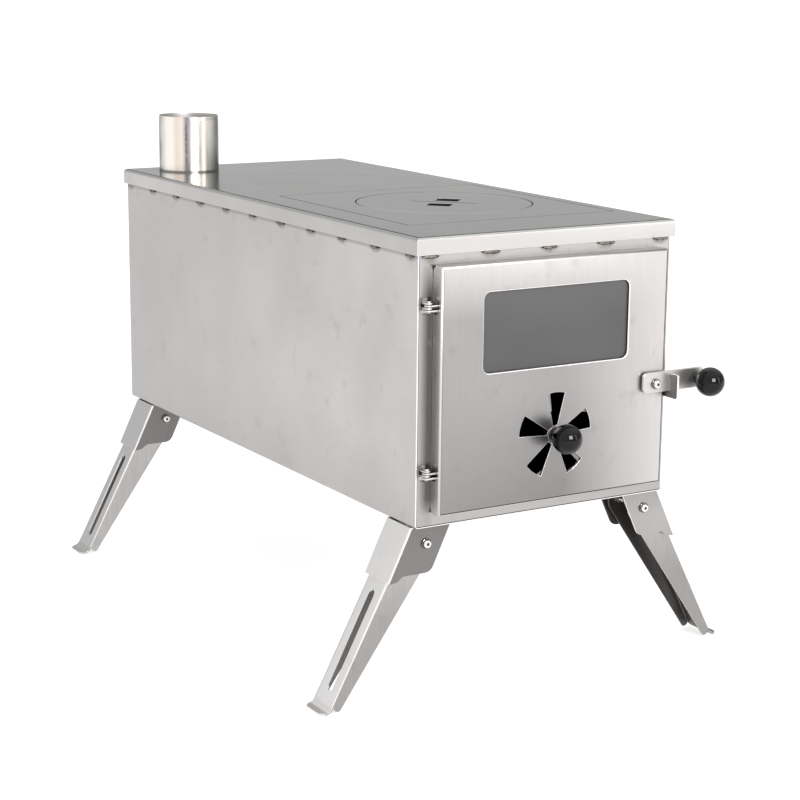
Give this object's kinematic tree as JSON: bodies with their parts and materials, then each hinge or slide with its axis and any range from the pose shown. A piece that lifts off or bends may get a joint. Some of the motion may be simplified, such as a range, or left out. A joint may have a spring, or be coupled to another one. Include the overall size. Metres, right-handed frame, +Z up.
{
  "type": "tent wood stove",
  "caption": "Stainless tent wood stove with folding legs, a glazed door with a turning air damper and gravity latch, a lift-out cooktop lid and a flue collar.",
  "frame": {"origin": "on the ground, under the middle of the stove's outer box", "axes": "+Z up, -Y the way the door faces, +X to the right as seen from the door"},
  "size_m": [0.4112, 0.6176, 0.4405],
  "materials": {
    "panel_steel": "satin stainless sheet with a faint grain",
    "front_steel": "fine brushed stainless sheet",
    "top_steel": "semi-bright stainless sheet",
    "bright_steel": "bright stainless",
    "inner_steel": "dull stainless sheet",
    "black_resin": "polished black",
    "smoked_glass": "flat heatproof glass, lightly smoked",
    "gasket_fibre": "flat woven glass-fibre tape"
  },
  "bodies": {
    "root": {"body_wrap": "panel_steel", "back_panel": "panel_steel", "front_frame": "front_steel", "latch_catch": "front_steel", "leg_bracket_front_left": "front_steel", "leg_bracket_front_right": "front_steel", "leg_bracket_rear_left": "front_steel", "leg_bracket_rear_right": "front_steel", "top_plate": "top_steel", "lid_seat_plate": "inner_steel", "fire_grate": "inner_steel", "smoke_baffle": "inner_steel", "flue_collar": "bright_steel", "hinge_frame_leaf_upper": "bright_steel", "hinge_pin_upper": "bright_steel", "hinge_frame_leaf_lower": "bright_steel", "hinge_pin_lower": "bright_steel", "leg_screw_front_left_fore": "bright_steel", "leg_screw_front_left_aft": "bright_steel", "leg_nut_front_left_fore": "bright_steel", "leg_nut_front_left_aft": "bright_steel", "leg_screw_front_right_fore": "bright_steel", "leg_screw_front_right_aft": "bright_steel", "leg_nut_front_right_fore": "bright_steel", "leg_nut_front_right_aft": "bright_steel", "leg_screw_rear_left_fore": "bright_steel", "leg_screw_rear_left_aft": "bright_steel", "leg_nut_rear_left_fore": "bright_steel", "leg_nut_rear_left_aft": "bright_steel", "leg_screw_rear_right_fore": "bright_steel", "leg_screw_rear_right_aft": "bright_steel", "leg_nut_rear_right_fore": "bright_steel", "leg_nut_rear_right_aft": "bright_steel"},
    "door": {"door_panel": "front_steel", "window_gasket": "gasket_fibre", "window_glass": "smoked_glass", "window_retainer": "inner_steel", "retainer_nut_1": "bright_steel", "retainer_nut_2": "bright_steel", "retainer_nut_3": "bright_steel", "retainer_nut_4": "bright_steel", "hinge_door_leaf_upper": "bright_steel", "hinge_door_leaf_lower": "bright_steel", "latch_pivot_screw": "bright_steel", "latch_pivot_nut": "bright_steel", "latch_spacer": "bright_steel", "latch_washer": "bright_steel"},
    "damper": {"damper_disc": "front_steel", "damper_spindle": "bright_steel", "damper_washer": "bright_steel", "damper_knob": "black_resin"},
    "latch": {"latch_arm": "front_steel", "latch_knob_screw": "bright_steel", "latch_knob": "black_resin"},
    "lid": {"cooktop_lid": "top_steel"},
    "leg_front_left": {"leg_front_left": "panel_steel"},
    "leg_front_right": {"leg_front_right": "panel_steel"},
    "leg_rear_left": {"leg_rear_left": "panel_steel"},
    "leg_rear_right": {"leg_rear_right": "panel_steel"}
  },
  "joints": [
    {"name": "door_hinge", "type": "hinge", "parent": "root", "child": "door", "pos_m": [-0.1182, -0.26735, 0.262], "axis": [0, 0, -1], "range_deg": [0, 110]},
    {"name": "latch_lift", "type": "hinge", "parent": "door", "child": "latch", "pos_m": [0.1005, -0.28, 0.2485], "axis": [0, -1, 0], "range_deg": [0, 60]},
    {"name": "damper_turn", "type": "hinge", "parent": "door", "child": "damper", "pos_m": [0.001, -0.276, 0.2148], "axis": [0, 1, 0], "continuous": true},
    {"name": "lid_lift", "type": "slide", "parent": "root", "child": "lid", "axis": [0, 0, 1], "range_m": [0, 0.07]},
    {"name": "leg_fold_front_left", "type": "hinge", "parent": "root", "child": "leg_front_left", "pos_m": [-0.111, -0.23735, 0.133], "axis": [0, -1, 0], "range_deg": [0, 118]},
    {"name": "leg_fold_front_right", "type": "hinge", "parent": "root", "child": "leg_front_right", "pos_m": [0.111, -0.23735, 0.133], "axis": [0, 1, 0], "range_deg": [0, 94]},
    {"name": "leg_fold_rear_left", "type": "hinge", "parent": "root", "child": "leg_rear_left", "pos_m": [-0.111, 0.27165, 0.133], "axis": [0, -1, 0], "range_deg": [0, 118]},
    {"name": "leg_fold_rear_right", "type": "hinge", "parent": "root", "child": "leg_rear_right", "pos_m": [0.111, 0.27165, 0.133], "axis": [0, 1, 0], "range_deg": [0, 94]}
  ]
}
